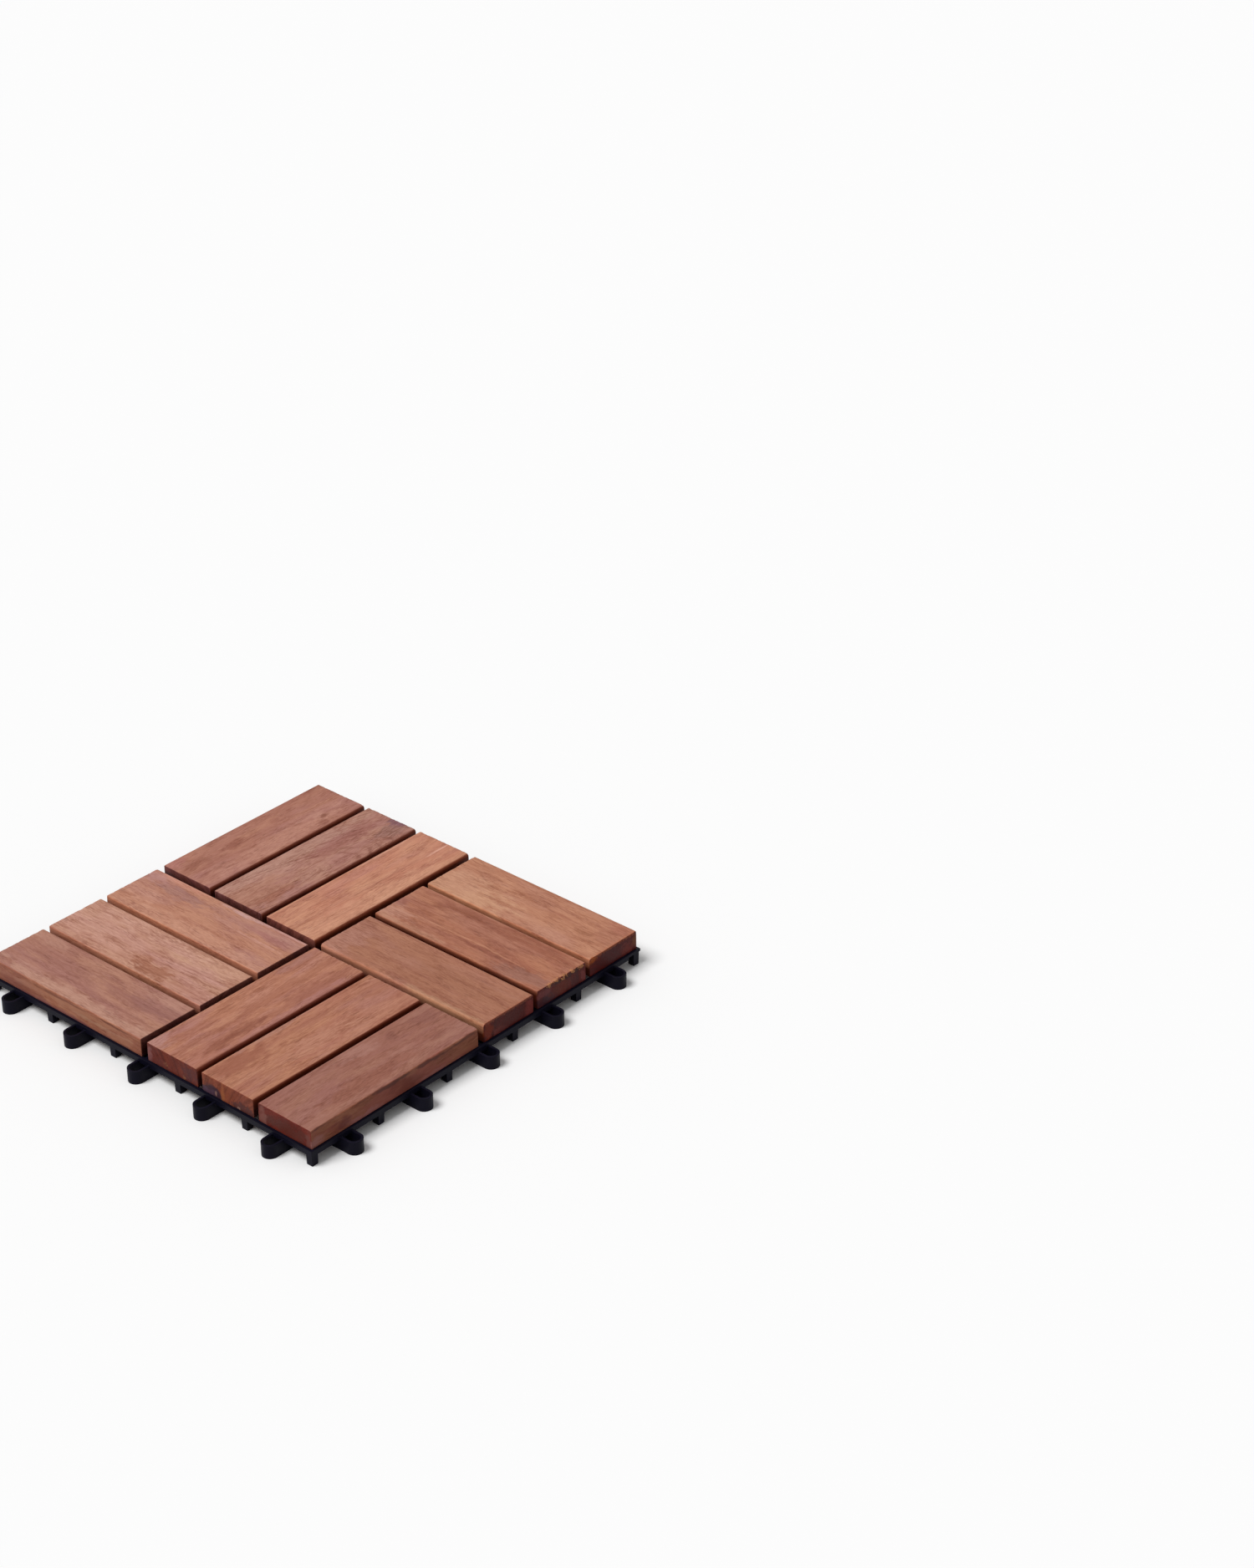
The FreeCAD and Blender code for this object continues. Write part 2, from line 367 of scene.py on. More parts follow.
# Tints of the sides, ends and walls. A turn is two cosines: how far the surface has to face a way for the
# tint to start, and to be full. A wall of a gap has the way that it faces in X and Y, its turn and its tint;
# these tints are painted shade and painted bounce light
planed_tint = "#FFE7D2"
planed_turn = (0.3, 0.85)
end_ring = 0.75                 # brightness of the dark rings on a sawn end
end_ring_starts = 0.42          # value of the ring pattern
end_ring_full = 0.62
# Painted shade for walls that face away from the lamp, and painted light for walls lit as if by bounce from
# the wood across a gap
shaded_wall = ((0, -1), (0.15, 0.75), hex_colour("#9A6E58"))    # away from the lamp
bounce_wall = ((-1, 0), (0.25, 0.9), (1.1, 1.13, 1.2, 1.0))     # lit from the wood across the gap
bright_wall = ((-1, 0), (0.25, 0.9), (1.4, 1.65, 1.9, 1.0))     # the same, beside the middle cross
# Painted shade in the gaps, darker lower down: the way a wall faces and the tint it is darkened with
gap_shade_walls = {(0, -1): "#8A5A48", (-1, 0): "#6E4636", (1, 0): "#6E4636", (0, 1): "#6E4636"}
gap_shade_turn = (0.3, 0.85)
outer_face = 147.0              # mm from the tile's middle, past which a wall isn't in a gap


def grain_field(tree, place, slat):
    """Bends the board's millimetres as its grain sways, and draws the patterns in them. W is the seed."""
    seed = slat["seed"]
    bent = place
    for step, (wave, size, curled_more) in enumerate(sways):
        amount = size + curled_more * slat["curl"]
        wave_place = add_node(tree, "VectorMath", {0: place, 1: wave}, operation="MULTIPLY")["Vector"]
        sway = add_node(tree, "TexNoise", {"Vector": wave_place, "W": seed * 3.7 + step, "Scale": 1.0,
                                           "Detail": 1.5}, noise_dimensions="4D")["Color"]
        shift = add_node(tree, "VectorMath", {0: sway, 1: (amount,) * 3, 2: (-amount / 2.0,) * 3},
                         operation="MULTIPLY_ADD")["Vector"]
        bent = add_node(tree, "VectorMath", {0: bent, 1: shift}, operation="ADD")["Vector"]

    pattern = {}
    for step, (kind, (length, width, detail)) in enumerate(drawn_patterns.items()):
        drawn = add_node(tree, "VectorMath", {0: bent, 1: (1.0 / length, 1.0 / width, 1.0 / width)},
                         operation="MULTIPLY")["Vector"]
        pattern[kind] = add_node(tree, "TexNoise", {"Vector": drawn, "W": seed * 5.3 + step, "Scale": 1.0,
                                                    "Detail": detail}, noise_dimensions="4D")["Fac"]

    # Growth rings: bands of unequal width by the distance from the pith
    pith_across, pith_depth, slant = slat["pith"]
    lean = (0.0, math.radians(slant), math.radians(slant * 0.6))
    to_pith = add_node(tree, "Mapping", {"Vector": bent, "Location": (0.0, -pith_across, pith_depth),
                                         "Rotation": lean})["Vector"]
    flat = add_node(tree, "VectorMath", {0: to_pith, 1: (0.0, 1.0, 1.0)}, operation="MULTIPLY")["Vector"]
    radius = add_node(tree, "VectorMath", {0: flat}, operation="LENGTH")["Value"]
    for kind, spacing in ring_spacing.items():
        ring_place = add_node(tree, "Math", {0: radius, 1: 1.0 / spacing}, operation="MULTIPLY")["Value"]
        pattern[kind] = add_node(tree, "TexNoise", {"W": ring_place, "Scale": 1.0, "Detail": 2.0,
                                                    "Roughness": 0.6}, noise_dimensions="1D")["Fac"]

    # Pores are short dark dashes, and only some of the cells hold one
    pore_place = add_node(tree, "VectorMath", {0: bent, 1: (pore_width / pore_length, 1.0, 1.0)},
                          operation="MULTIPLY")["Vector"]
    pore_cells = add_node(tree, "TexVoronoi", {"Vector": pore_place, "Scale": 1.0 / pore_spacing})
    pore_pick = add_node(tree, "SeparateColor", {"Color": pore_cells["Color"]})["Red"]
    picked = add_node(tree, "Math", {0: pore_pick, 1: pore_free}, operation="GREATER_THAN")["Value"]
    pore_dot = add_node(tree, "MapRange", {"Value": pore_cells["Distance"], "From Min": pore_edge,
                                           "From Max": pore_core}, interpolation_type="SMOOTHSTEP")["Result"]
    pattern["pore"] = add_node(tree, "Math", {0: picked, 1: pore_dot}, operation="MULTIPLY")["Value"]
    return bent, pattern


def stain(tree, colour, place, outline, middle, reach, tone, strength):
    """Adds a spot with the outline, crisper if it is strong. A reach of 0 lets it run right through."""
    fade = soft_fade if strength < crisp_strength else crisp_fade
    scale = [1.0 / r if r else 0.0 for r in reach]
    shift = [-m * k for m, k in zip(middle, scale)]
    spot = add_node(tree, "Mapping", {"Vector": place, "Location": shift, "Scale": scale})["Vector"]
    far = add_node(tree, "VectorMath", {0: spot}, operation="LENGTH")["Value"]
    torn = add_node(tree, "Math", {0: far, 1: outline}, operation="ADD")["Value"]
    factor = add_node(tree, "MapRange", {"Value": torn, "From Min": mark_edge + fade,
                                         "From Max": mark_edge - fade, "To Max": strength},
                      interpolation_type="SMOOTHSTEP")["Result"]
    return add_node(tree, "Mix", {0: factor, 6: colour, 7: hex_colour(tone)}, data_type="RGBA")[2]


def face_colour(tree, slat, bent, pattern, ragged):
    """The broad tones, the slat's own marks, and the fine grain over both."""
    body, light, dark, mauve = slat["tones"]
    own_tone = {"light": light, "dark": dark, "mauve": mauve}
    colour = hex_colour(body)
    for kind, start, full, strength, tone in broad_tones:
        factor = add_node(tree, "MapRange", {"Value": pattern[kind], "From Min": start, "From Max": full,
                                             "To Max": strength}, interpolation_type="SMOOTHSTEP")["Result"]
        colour = add_node(tree, "Mix", {0: factor, 6: colour, 7: hex_colour(own_tone[tone])},
                          data_type="RGBA")[2]
    for u, v, half_u, half_v, tone, strength in slat["marks"]:
        middle = (u - half_length, v - half_width, 0.0)
        colour = stain(tree, colour, bent, ragged, middle, (half_u, half_v, 0.0), tone, strength)

    busy = add_node(tree, "MapRange", {"Value": pattern["grime"], "From Min": calm_value,
                                       "From Max": busy_value, "To Min": calm_grain,
                                       "To Max": busy_grain})["Result"]
    for kind, start, full, plain, grained_more, tone, blend in fine_tones:
        strength = plain + grained_more * slat["grain"]
        factor = add_node(tree, "MapRange", {"Value": pattern[kind], "From Min": start, "From Max": full,
                                             "To Max": strength}, interpolation_type="SMOOTHSTEP")["Result"]
        factor = add_node(tree, "Math", {0: factor, 1: busy}, operation="MULTIPLY")["Value"]
        colour = add_node(tree, "Mix", {0: factor, 6: colour, 7: hex_colour(tone)}, data_type="RGBA",
                          blend_type=blend)[2]
    return colour


def turned_to(tree, facing, direction, turn, either_way=False):
    """From 0 to 1 as the surface turns to face the direction, or also its opposite."""
    cosine = add_node(tree, "VectorMath", {0: facing, 1: direction}, operation="DOT_PRODUCT")["Value"]
    if either_way:
        cosine = add_node(tree, "Math", {0: cosine}, operation="ABSOLUTE")["Value"]
    return add_node(tree, "MapRange", {"Value": cosine, "From Min": turn[0], "From Max": turn[1]},
                    interpolation_type="SMOOTHSTEP")["Result"]


def side_colour(tree, slat, colour, pattern, facing, along, across):
    """Makes the planed sides more golden, and the sawn ends dark with ring arcs."""
    side = turned_to(tree, facing, across, planed_turn, either_way=True)
    colour = add_node(tree, "Mix", {0: side, 6: colour, 7: hex_colour(planed_tint)}, data_type="RGBA",
                      blend_type="MULTIPLY")[2]
    end_tint = hex_colour(slat["end_tint"])
    dark_ring = tuple(end_ring * channel for channel in end_tint[:3]) + (1.0,)
    arcs = add_node(tree, "MapRange", {"Value": pattern["ring"], "From Min": end_ring_starts,
                                       "From Max": end_ring_full}, interpolation_type="SMOOTHSTEP")["Result"]
    end_tone = add_node(tree, "Mix", {0: arcs, 6: end_tint, 7: dark_ring}, data_type="RGBA")[2]
    end = turned_to(tree, facing, along, slat["end_turn"], either_way=True)
    return add_node(tree, "Mix", {0: end, 6: colour, 7: end_tone}, data_type="RGBA",
                    blend_type="MULTIPLY")[2]


def gap_walls(tree, slat, colour, facing, place):
    """Paints light and shade on the walls of the gaps. Those that face the loops along Y get painted shade,
    and those that face them along X get painted light, as if bounced from the wood across the gap. All get
    painted shade that deepens lower down."""
    low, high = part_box("slat_" + slat["name"])
    reach = {(-1, 0): -low.x, (1, 0): high.x, (0, -1): -low.y, (0, 1): high.y}
    for wall, turn, tint in slat["lit_walls"]:
        if reach[wall] < outer_face * mm:
            factor = turned_to(tree, facing, (*wall, 0.0), turn)
            colour = add_node(tree, "Mix", {0: factor, 6: colour, 7: tint}, data_type="RGBA",
                              blend_type="MULTIPLY")[2]
    # Painted shade, stronger lower down in the gaps
    shade_starts, shade_full = slat["gap_shade_depth"]
    height = add_node(tree, "SeparateXYZ", {"Vector": place})["Z"]
    sunk = add_node(tree, "MapRange", {"Value": height, "From Min": half_thickness - shade_starts,
                                       "From Max": half_thickness - shade_full})["Result"]
    for wall, tone in gap_shade_walls.items():
        if reach[wall] < outer_face * mm:
            factor = turned_to(tree, facing, (*wall, 0.0), gap_shade_turn)
            factor = add_node(tree, "Math", {0: sunk, 1: factor}, operation="MULTIPLY")["Value"]
            colour = add_node(tree, "Mix", {0: factor, 6: colour, 7: hex_colour(tone)}, data_type="RGBA",
                              blend_type="MULTIPLY")[2]
    return colour


def oiled_acacia(slat):
    """Solid wood: soft rings round a pith line, streaks and fibres along the board, then its own marks."""
    low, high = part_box("slat_" + slat["name"])
    angle = math.radians(-90.0 * slat["turns"])
    turn = Matrix.Rotation(angle, 3, "Z")
    centre = turn @ ((low + high) / 2.0 / mm)
    along = turn.inverted() @ Vector((1.0, 0.0, 0.0))
    across = turn.inverted() @ Vector((0.0, 1.0, 0.0))
    material, tree = new_material("oiled acacia " + slat["name"])

    # Millimetres from the board's middle: x along the grain, y across, z up
    tile_place = add_node(tree, "TexCoord", {})["Object"]
    place = add_node(tree, "Mapping", {"Vector": tile_place, "Location": -centre, "Scale": (1.0 / mm,) * 3,
                                       "Rotation": (0.0, 0.0, angle)})["Vector"]
    bent, pattern = grain_field(tree, place, slat)
    outline = {}
    for kind, (source, inner, outer) in outlines.items():
        outline[kind] = add_node(tree, "MapRange", {"Value": pattern[source], "From Min": noise_low,
                                                    "From Max": noise_high, "To Min": inner,
                                                    "To Max": outer})["Result"]
    colour = face_colour(tree, slat, bent, pattern, outline["ragged"])
    facing = add_node(tree, "NewGeometry", {})["Normal"]
    colour = side_colour(tree, slat, colour, pattern, facing, along, across)
    colour = gap_walls(tree, slat, colour, facing, place)
    for v, up, half_v, half_up, tone, strength in slat["end_marks"]:
        middle = (half_length, v - half_width, up - half_thickness)
        reach = (end_depth, half_v, half_up)
        kind = "broken" if half_up < small_mark else "calm" if half_up > large_mark else "ragged"
        colour = stain(tree, colour, place, outline[kind], middle, reach, tone, strength)
    for u, up, half_u, half_up, tone, strength in slat["side_marks"]:
        middle = (u - half_length, half_width, up - half_thickness)
        reach = (half_u, end_depth, half_up)
        colour = stain(tree, colour, bent, outline["ragged"], middle, reach, tone, strength)

    # Raised fibres and open pores. The oil has sunk in more along some of the fibres
    relief = add_node(tree, "Math", {0: pattern["fibre"], 1: 0.5}, operation="MULTIPLY")["Value"]
    relief = add_node(tree, "Math", {0: relief, 1: pattern["pore"]}, operation="SUBTRACT")["Value"]
    bump = add_node(tree, "Bump", {"Height": relief, "Strength": 0.5,
                                   "Distance": fibre_depth * mm})["Normal"]
    gloss = add_node(tree, "MapRange", {"Value": pattern["fibre"], "From Min": noise_low,
                                        "From Max": noise_high, "To Min": oiled_roughness[0],
                                        "To Max": oiled_roughness[1]})["Result"]
    oiled = add_node(tree, "BsdfPrincipled", {"Base Color": colour, "Roughness": gloss, "Normal": bump,
                                              "IOR": 1.5, "Specular IOR Level": 0.2})["BSDF"]
    add_node(tree, "OutputMaterial", {"Surface": oiled})
    return material


# One entry per slat, over what a plain one has. turns counts the quarter turns from lying along X, seed
# picks its noise, and rounds are its inner and outer long edges in mm. pith is the middle of its rings: the
# place across and the depth in mm, and the slant in degrees. tones are its body, light, dark and mauve
# colours, and end_tint goes over its sawn ends. grain and curl are strengths. A mark is a stain or knot,
# except a few painted highlights and painted shadows along edges, noted where they stand: its middle from
# the slat's inner end and inner side, half its length and width in mm, its tone and strength. A mark on the
# outer end has its middle from the inner side and up from the bottom, and one on the outer side from the
# inner end and up from the bottom.
plain_slat = {
    "grain": 0.1, "curl": 0.0, "wavy_edge": 0, "frayed_end": 0, "end_turn": (0.55, 0.85),
    # The walls' painted light and shade; the last pair is where the painted shade in the gaps starts and is
    # full
    "lit_walls": (shaded_wall, bounce_wall), "gap_shade_depth": (2.0, 8.0),    # mm under the deck face: starts, full
    "end_marks": [], "side_marks": [],
}
slats = [
    {"name": "back_inner", "turns": 0, "seed": 1, "rounds": (2.6, 0.8), "pith": (-70.0, 30.0, 1.5),
     "tones": ("#C28369", "#CE9577", "#A56857", "#C3887C"), "end_tint": "#AC8E95",
     "marks": [
         (45.0, 8.0, 75.0, 10.0, "#D59F81", 0.5),
         (15.0, 20.0, 13.0, 0.8, "#9E6149", 0.6),
         (40.0, 10.0, 26.0, 0.7, "#A46951", 0.4),
         (85.0, 20.5, 30.0, 0.8, "#A46953", 0.5),
         (137.0, 19.0, 11.0, 1.0, "#E2AC98", 0.75),
         (30.0, 6.0, 30.0, 5.0, "#CD9276", 0.5),
         # The pale line along the outer edge at v 44 is a painted highlight on its rounded edge
         (110.0, 44.0, 22.0, 1.2, "#D59E8C", 0.4)]},
    {"name": "back_middle", "turns": 0, "seed": 2, "rounds": (2.3, 0.8), "pith": (-10.0, -20.0, 15.0),
     "tones": ("#AC786B", "#BC8C77", "#975F53", "#A97871"), "end_tint": "#AC8E95",
     "grain": 0.9, "curl": 0.25,
     "marks": [
         (25.0, 33.0, 40.0, 12.0, "#C59888", 0.55),
         (15.0, 22.0, 30.0, 18.0, "#AF7A62", 0.6),
         (28.0, 11.0, 18.0, 4.0, "#A16651", 0.6),
         (58.0, 12.0, 16.0, 8.0, "#B98A76", 0.6),
         (98.0, 26.0, 36.0, 6.0, "#9D655A", 0.75),
         (136.0, 12.0, 13.0, 10.0, "#956E64", 0.6),
         (145.0, 16.0, 7.0, 6.0, "#845A66", 0.8),
         (66.0, 40.0, 75.0, 7.0, "#B88C7C", 0.8)]},
    {"name": "back_outer", "turns": 0, "seed": 3, "rounds": (2.6, 0.9), "pith": (20.0, 34.0, 2.0),
     "tones": ("#A8705F", "#B67F68", "#8F5342", "#AE7972"), "end_tint": "#AC8E95",
     "curl": 0.2,
     "marks": [
         (75.0, 10.0, 75.0, 9.0, "#BF8A78", 0.6),
         (14.0, 30.0, 9.0, 4.5, "#915845", 0.7),
         (50.0, 30.0, 9.0, 5.0, "#955A48", 0.7),
         (88.0, 33.0, 5.0, 3.0, "#9B604F", 0.5),
         (114.0, 15.0, 5.0, 5.0, "#B88473", 0.8),
         (112.0, 6.0, 5.0, 3.0, "#905848", 0.7),
         (118.0, 11.5, 4.0, 1.8, "#8A523F", 0.8),
         (130.0, 6.0, 9.0, 2.0, "#996051", 0.5),
         (5.0, 42.0, 10.0, 5.0, "#B77A71", 0.6)]},
    {"name": "left_inner", "turns": 1, "seed": 4, "rounds": (2.0, 0.8), "pith": (60.0, 22.0, 1.2),
     "tones": ("#B77E65", "#C38C72", "#A1685C", "#AD7C78"), "end_tint": "#A88A90",
     "frayed_end": -1, "lit_walls": (bounce_wall,),
     "marks": [
         (60.0, 42.0, 110.0, 9.0, "#D09B82", 0.55),
         (132.0, 27.0, 22.0, 9.0, "#CD9882", 0.55),
         (138.0, 8.0, 14.0, 8.0, "#BF8F88", 0.65),
         (40.0, 10.0, 50.0, 6.0, "#AC7E76", 0.35),
         (22.0, 12.0, 20.0, 3.5, "#A66D66", 0.6),
         (110.0, 13.0, 24.0, 6.0, "#986E6C", 0.5),
         (118.0, 2.5, 30.0, 3.5, "#CA8D78", 0.8),
         # The two pale streaks along the inner edge, at v 3 and 2, are painted highlights on its rounded
         # edge
         (58.0, 3.0, 24.0, 2.2, "#CCA19B", 0.8),
         (20.0, 2.0, 20.0, 1.4, "#CC9C97", 0.6),
         (28.0, 19.5, 24.0, 1.2, "#CA9686", 0.7),
         (124.0, 41.0, 2.5, 1.8, "#9E6553", 0.7)]},
    {"name": "left_middle", "turns": 1, "seed": 5, "rounds": (2.3, 0.8), "pith": (-25.0, 18.0, 2.2),
     "tones": ("#C08C78", "#CA9B82", "#A7715C", "#C5928A"), "end_tint": "#A88A90",
     "grain": 0.5, "curl": 0.25, "lit_walls": (bounce_wall,),
     "marks": [
         (122.0, 26.0, 42.0, 15.0, "#CB9A89", 0.6),
         (85.0, 8.0, 60.0, 6.0, "#D3A492", 0.4),
         (54.0, 37.0, 17.0, 8.0, "#A46C54", 0.9),
         (66.0, 33.0, 10.0, 6.0, "#B17961", 0.8),
         (48.0, 31.0, 5.0, 3.0, "#AA7159", 0.7),
         (100.0, 30.0, 12.0, 3.0, "#AF7963", 0.5),
         (16.0, 38.0, 24.0, 6.0, "#AF7861", 0.4)]},
    {"name": "left_outer", "turns": 1, "seed": 6, "rounds": (2.0, 0.9), "pith": (30.0, 24.0, 1.4),
     "tones": ("#A77362", "#B8856E", "#905B53", "#A47169"), "end_tint": "#A88A90",
     "curl": 0.1, "lit_walls": (bounce_wall,),
     "marks": [
         (15.0, 6.0, 24.0, 6.0, "#BA8B79", 0.55),
         (130.0, 7.0, 18.0, 6.0, "#BA8B79", 0.5),
         (70.0, 41.5, 85.0, 5.5, "#BE907D", 0.84),
         (36.0, 20.0, 36.0, 5.0, "#966257", 0.6),
         (18.0, 16.0, 24.0, 7.0, "#916159", 0.5),
         (100.0, 22.0, 26.0, 4.0, "#986457", 0.5),
         (120.0, 37.0, 24.0, 3.0, "#B18074", 0.5)],
     "side_marks": [
         (26.0, 12.0, 20.0, 0.9, "#7A4636", 0.84),
         (78.0, 11.4, 26.0, 0.9, "#85503E", 0.84),
         (52.0, 9.0, 40.0, 1.8, "#B37A5E", 0.6),
         (118.0, 8.5, 20.0, 2.2, "#B37B67", 0.6),
         (20.0, 5.0, 16.0, 4.5, "#AE745A", 0.6),
         (66.0, 0.8, 68.0, 1.1, "#62363A", 0.7),
         (122.0, 4.0, 24.0, 3.5, "#7E443A", 0.6),
         (40.0, 6.5, 34.0, 1.2, "#BC8C72", 0.5),
         (80.0, 1.6, 50.0, 1.6, "#80484A", 0.5)]},
    {"name": "front_inner", "turns": 2, "seed": 7, "rounds": (0.8, 2.7), "pith": (-40.0, 20.0, 1.8),
     "tones": ("#AD725E", "#BF8467", "#975B44", "#B17C75"), "end_tint": "#AC756E",
     "curl": 0.1,
     "marks": [
         (35.0, 38.0, 50.0, 8.0, "#9C614E", 0.65),
         (65.0, 15.0, 12.0, 5.0, "#C28A75", 0.5),
         (50.0, 21.0, 60.0, 4.5, "#A56A52", 0.65),
         (94.0, 34.0, 17.0, 5.5, "#8D523E", 0.7),
         (117.0, 36.0, 13.0, 5.0, "#8D523E", 0.7),
         (118.0, 23.0, 26.0, 3.5, "#A16650", 0.6),
         (95.0, 19.0, 15.0, 3.0, "#C1886D", 0.7),
         (128.0, 27.5, 10.0, 1.2, "#BD866D", 0.6),
         (140.0, 6.0, 10.0, 8.0, "#B98A81", 0.7),
         (20.0, 5.0, 20.0, 3.0, "#A37065", 0.6),
         (60.0, 43.0, 60.0, 3.0, "#B27C74", 0.6)],
     "end_marks": [
         (39.0, 5.0, 6.5, 7.0, "#4A282C", 0.6),
         (16.5, 4.5, 1.3, 1.0, "#A8704C", 0.4),
         (33.5, 2.0, 1.1, 0.9, "#A8704C", 0.4),
         (2.0, 6.0, 2.5, 8.0, "#946260", 0.6),
         (12.0, 3.0, 8.0, 4.0, "#6A3530", 0.5)]},
    {"name": "front_middle", "turns": 2, "seed": 8, "rounds": (0.8, 1.6), "pith": (45.0, 28.0, 2.0),
     "tones": ("#AD715B", "#BC8365", "#975A44", "#B17C6E"), "end_tint": "#D1A598",
     "marks": [
         (75.0, 29.0, 36.0, 8.0, "#C08971", 0.6),
         (121.0, 9.5, 30.0, 8.0, "#9B5F49", 0.84),
         (62.0, 11.0, 16.0, 3.5, "#A06552", 0.5),
         (8.0, 17.0, 15.0, 6.0, "#9C6450", 0.4),
         (128.0, 26.0, 15.0, 1.5, "#BF886E", 0.6),
         (85.0, 2.0, 30.0, 2.0, "#B38476", 0.5),
         (30.0, 36.0, 30.0, 8.0, "#B88068", 0.5)],
     "end_marks": [
         (8.5, -0.3, 10.8, 9.2, "#341E2A", 0.95),
         (5.0, 0.3, 8.0, 5.0, "#54394A", 0.75),
         (12.3, 2.6, 0.8, 1.8, "#A88072", 0.6),
         (18.5, 5.0, 1.6, 7.0, "#A8623C", 0.7),
         (36.0, 1.0, 11.0, 5.0, "#4E2A28", 0.85),
         (33.0, 1.2, 1.0, 0.9, "#A88072", 0.7)]},
    {"name": "front_outer", "turns": 2, "seed": 9, "rounds": (1.3, 0.9), "pith": (5.0, 22.0, 2.4),
     "tones": ("#996454", "#A77662", "#854E41", "#9B6860"), "end_tint": "#BF6B5D",
     "grain": 0.15, "curl": 0.2, "wavy_edge": 1,
     "marks": [
         (65.0, 8.0, 16.0, 6.0, "#AE7E71", 0.6),
         (52.0, 29.0, 14.0, 6.0, "#AC7A6B", 0.55),
         (12.0, 10.0, 12.0, 9.0, "#8C594D", 0.7),
         (42.0, 11.0, 5.0, 5.0, "#885548", 0.7),
         (20.0, 33.0, 9.0, 4.0, "#8C584B", 0.6),
         (82.0, 33.0, 42.0, 6.0, "#925B49", 0.7),
         (112.0, 6.0, 24.0, 5.0, "#9D6B5F", 0.5),
         (10.0, 4.0, 14.0, 3.0, "#A67564", 0.5)],
     "end_marks": [
         (27.0, 5.0, 21.5, 5.3, "#58281F", 0.84),
         (4.0, 5.0, 3.0, 8.0, "#8C5A50", 0.6),
         (44.0, 3.0, 3.0, 8.0, "#7E4A42", 0.5)],
     "side_marks": [
         (75.0, 4.0, 95.0, 9.0, "#9C5248", 0.6),
         (100.0, 2.0, 18.0, 3.0, "#B07470", 0.6),
         (118.0, 5.5, 9.0, 6.5, "#6E3630", 0.65),
         (66.0, 6.0, 12.0, 7.0, "#743A2E", 0.65),
         (140.0, 3.0, 10.0, 4.0, "#B07A74", 0.6),
         (38.0, 1.5, 22.0, 2.0, "#A86C66", 0.6),
         # The three dark lines just under the top edge, 12 to 12.4 mm up, are a painted shadow under the
         # worn lip
         (72.0, 12.0, 62.0, 1.3, "#4E2A24", 0.7),
         (125.0, 12.2, 20.0, 1.0, "#5A322A", 0.7),
         (16.0, 12.4, 14.0, 0.9, "#5A322A", 0.7),
         (15.0, 8.0, 14.0, 4.0, "#A0644A", 0.5)]},
    {"name": "right_inner", "turns": 3, "seed": 10, "rounds": (2.4, 1.6), "pith": (50.0, 30.0, 1.0),
     "tones": ("#A46D54", "#B17A60", "#905645", "#AA7666"), "end_tint": "#832923",
     "end_turn": (0.3, 0.65), "lit_walls": (shaded_wall, bright_wall),
     "marks": [
         (6.0, 14.0, 14.0, 16.0, "#BB8775", 0.55),
         (115.0, 1.5, 45.0, 2.6, "#B08266", 0.8),
         (10.0, 20.0, 12.0, 10.0, "#AD7968", 0.6),
         (95.0, 22.0, 30.0, 9.0, "#9D674E", 0.5),
         (100.0, 41.0, 50.0, 4.0, "#AF765F", 0.5)],
     "end_marks": [
         (4.0, 7.0, 5.0, 7.5, "#9C3C1A", 0.4),
         (14.0, 2.0, 8.0, 3.5, "#8F4640", 0.5),
         (42.5, 5.0, 5.0, 7.5, "#8B3B36", 0.7),
         (26.0, 5.0, 14.0, 6.0, "#48120D", 0.6),
         # The pale line along the end's upper lip, 13 mm up, is a painted highlight on its eased edge
         (24.0, 13.0, 24.0, 1.0, "#A76046", 0.45)]},
    {"name": "right_middle", "turns": 3, "seed": 11, "rounds": (1.2, 1.1), "pith": (-80.0, 15.0, 0.8),
     "tones": ("#A96B53", "#B87D5F", "#915643", "#AC7562"), "end_tint": "#954C50",
     # Its painted shade in the gaps begins above the deck face and is full 3.8 mm under it
     "grain": 0.15, "frayed_end": 1, "end_turn": (0.3, 0.65), "gap_shade_depth": (-1.0, 3.8),
     "marks": [
         (4.0, 12.0, 18.0, 12.0, "#C5937F", 0.6),
         (78.0, 39.0, 70.0, 6.0, "#925642", 0.65),
         (30.0, 3.0, 32.0, 3.0, "#BA866C", 0.7),
         (105.0, 12.5, 50.0, 2.2, "#935744", 0.8),
         (60.0, 15.5, 70.0, 0.9, "#BD8367", 0.7),
         (128.0, 8.0, 24.0, 7.0, "#9A6E60", 0.6),
         (48.0, 38.5, 14.0, 3.2, "#92573F", 0.8),
         (110.0, 37.0, 40.0, 1.5, "#9C5E47", 0.6),
         (110.0, 42.5, 50.0, 1.2, "#9A5C45", 0.6),
         (4.0, 22.0, 7.0, 4.5, "#965C50", 0.7)],
     "end_marks": [
         (8.0, 3.0, 10.0, 5.5, "#391A24", 0.8),
         (6.0, 9.5, 9.0, 3.0, "#854544", 0.6),
         (24.0, 6.5, 11.0, 5.0, "#6B2A19", 0.6),
         (36.0, 5.0, 6.5, 5.5, "#3D1217", 0.65),
         (43.5, 5.0, 3.0, 7.0, "#85403C", 0.7),
         (28.0, 11.6, 21.0, 1.6, "#371410", 0.84),
         (11.0, 12.4, 1.9, 1.2, "#BC7E54", 0.95),
         (18.5, 12.9, 2.0, 1.0, "#BC7E54", 0.95),
         (25.5, 12.2, 2.1, 1.3, "#C6885A", 0.95),
         (33.5, 12.7, 2.2, 1.1, "#BC7E54", 0.95),
         (42.0, 12.3, 2.2, 1.1, "#BC7E54", 0.95)]},
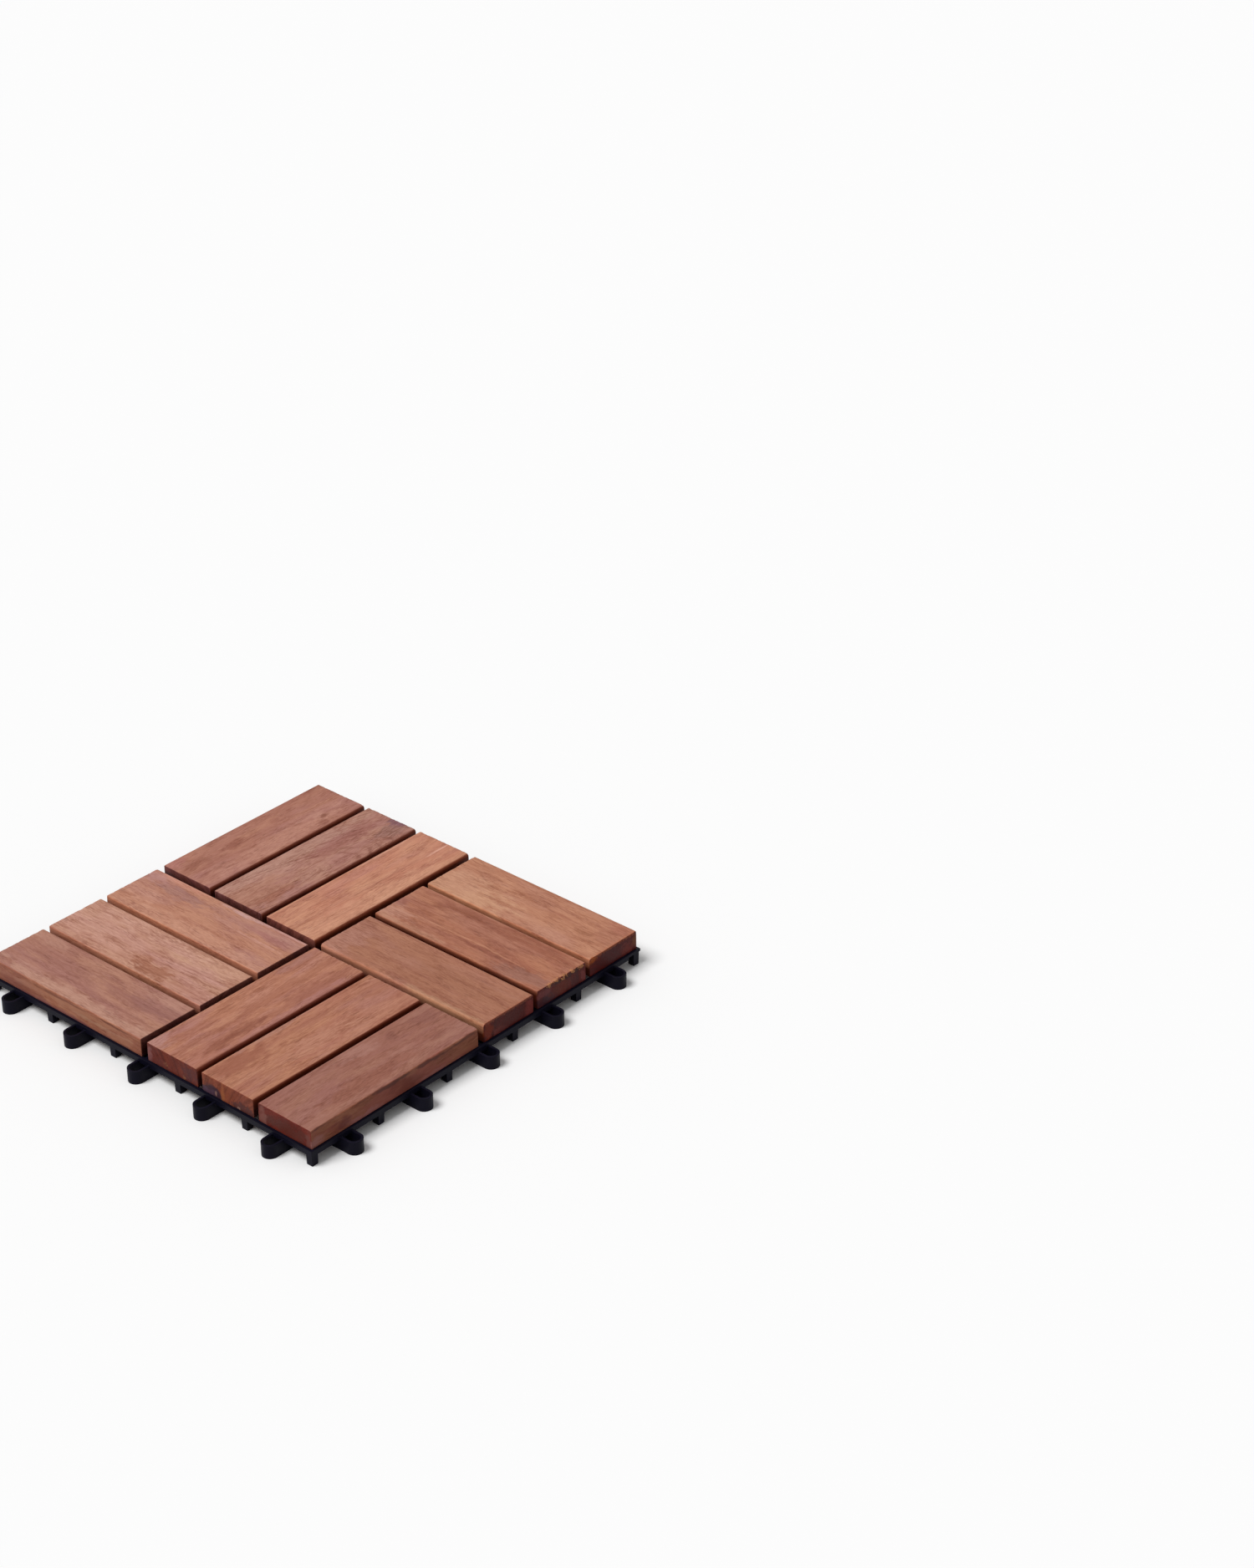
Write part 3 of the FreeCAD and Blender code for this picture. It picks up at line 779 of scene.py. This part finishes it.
    {"name": "right_outer", "turns": 3, "seed": 12, "rounds": (1.4, 0.9), "pith": (-30.0, 36.0, 1.6),
     "tones": ("#B77D61", "#C78F71", "#A1654C", "#BC8773"), "end_tint": "#802519",
     "end_turn": (0.3, 0.65),
     "marks": [
         (22.0, 10.0, 45.0, 16.0, "#D4A484", 0.6),
         (138.0, 32.0, 18.0, 12.0, "#A56B56", 0.5),
         (16.0, 18.0, 20.0, 14.0, "#C59075", 0.7),
         (121.0, 23.0, 9.0, 2.5, "#9D6549", 0.75),
         (38.0, 25.0, 5.0, 0.9, "#A3674E", 0.6),
         (98.0, 28.0, 18.0, 0.9, "#A1654E", 0.6),
         (80.0, 35.0, 30.0, 2.0, "#AB715B", 0.5),
         (124.0, 35.0, 3.0, 1.6, "#A16550", 0.6),
         (60.0, 21.0, 10.0, 0.8, "#A97058", 0.5),
         (138.0, 40.0, 12.0, 6.0, "#AD6D58", 0.6)],
     "end_marks": [
         (20.0, 6.0, 18.0, 7.5, "#3F0D10", 0.65),
         (3.5, 11.5, 5.0, 2.6, "#AE551E", 0.8),
         (44.0, 7.0, 4.0, 4.0, "#794321", 0.8),
         (37.0, 4.0, 6.5, 5.5, "#81352C", 0.6),
         # The pale line along the end's upper lip, 13 mm up, is a painted highlight on its eased edge
         (22.0, 13.0, 24.0, 1.0, "#B26441", 0.4)]},
]
for own in slats:
    slat = {**plain_slat, **own}
    board = slat_object(slat)
    board.data.materials.append(oiled_acacia(slat))

# The tile stands on a plain pale studio floor under a white tent and one large soft lamp
# high at the left. The floor shows white, but it gives less light back than it shows.
floor_half = 14.0               # m
floor_tone = "#848484"          # as stray light meets it
floor_shown = "#FFFFFF"         # as the camera and reflections see it
key_direction = (-0.48, 0.2, 0.88)      # from the tile to the lamp
key_angle = 30.0                # degrees across, which makes the shadows soft
key_strength = 2.1
tent_strength = 0.4


def seen_directly(tree):
    """1 where a ray comes from the camera, a reflection or a clear material, and 0 for stray light."""
    path = add_node(tree, "LightPath", {})
    shown = path["Is Camera Ray"]
    for ray in ("Is Glossy Ray", "Is Transmission Ray"):
        shown = add_node(tree, "Math", {0: shown, 1: path[ray]}, operation="MAXIMUM")["Value"]
    return shown


def studio_floor():
    """Matt white paint that throws little light up at the sides of the tile. It is clear from below."""
    material, tree = new_material("matt white floor")
    tone = add_node(tree, "Mix", {0: seen_directly(tree), 6: hex_colour(floor_tone),
                                  7: hex_colour(floor_shown)}, data_type="RGBA")[2]
    paint = add_node(tree, "BsdfDiffuse", {"Color": tone})["BSDF"]
    below = add_node(tree, "NewGeometry", {})["Backfacing"]
    clear = add_node(tree, "BsdfTransparent", {})["BSDF"]
    shown = add_node(tree, "MixShader", {0: below, 1: paint, 2: clear})["Shader"]
    add_node(tree, "OutputMaterial", {"Surface": shown})
    return material


bm = bmesh.new()
bmesh.ops.create_grid(bm, x_segments=1, y_segments=1, size=floor_half)
floor_mesh = bpy.data.meshes.new("floor")
bm.to_mesh(floor_mesh)
bm.free()
floor = bpy.data.objects.new("floor", floor_mesh)
floor_mesh.materials.append(studio_floor())
bpy.context.scene.collection.objects.link(floor)

world = bpy.data.worlds.new("white tent")
world.use_nodes = True
tree = world.node_tree
tree.nodes.clear()
strength = add_node(tree, "MapRange", {"Value": seen_directly(tree), "To Min": tent_strength,
                                       "To Max": 1.0})["Result"]
tent = add_node(tree, "Background", {"Color": (1.0, 1.0, 1.0, 1.0), "Strength": strength})["Background"]
add_node(tree, "OutputWorld", {"Surface": tent})
bpy.context.scene.world = world

key = bpy.data.objects.new("key lamp", bpy.data.lights.new("key lamp", "SUN"))
key.data.angle = math.radians(key_angle)
key.data.energy = key_strength
key.rotation_euler = Vector(key_direction).to_track_quat("Z", "Y").to_euler()
bpy.context.scene.collection.objects.link(key)

# The camera stands as in the photograph: a long lens, about 30 degrees above the tile,
# looking across its front corner. The picture is 1500 by 1876 with its middle on the lens axis.
photo_height = 1876
focal_pixels = 4110.7
sensor_size = 36.0              # mm
camera_place = (-1.27918, -1.39628, 1.21879)    # m
camera_azimuth = 48.646         # degrees from +Y towards +X
camera_fall = 29.746            # degrees below level
camera_roll = -0.333            # degrees

camera = bpy.data.objects.new("camera", bpy.data.cameras.new("camera"))
camera.data.sensor_width = sensor_size
camera.data.lens = focal_pixels * sensor_size / photo_height
camera.data.clip_end = 100.0
turned = Matrix.Rotation(math.radians(-camera_azimuth), 4, "Z")
turned = turned @ Matrix.Rotation(math.radians(90.0 - camera_fall), 4, "X")
turned = turned @ Matrix.Rotation(math.radians(camera_roll), 4, "Z")
camera.matrix_world = Matrix.Translation(camera_place) @ turned
bpy.context.scene.collection.objects.link(camera)
bpy.context.scene.camera = camera
bpy.context.scene.view_settings.view_transform = "Standard"

bpy.context.view_layer.update()
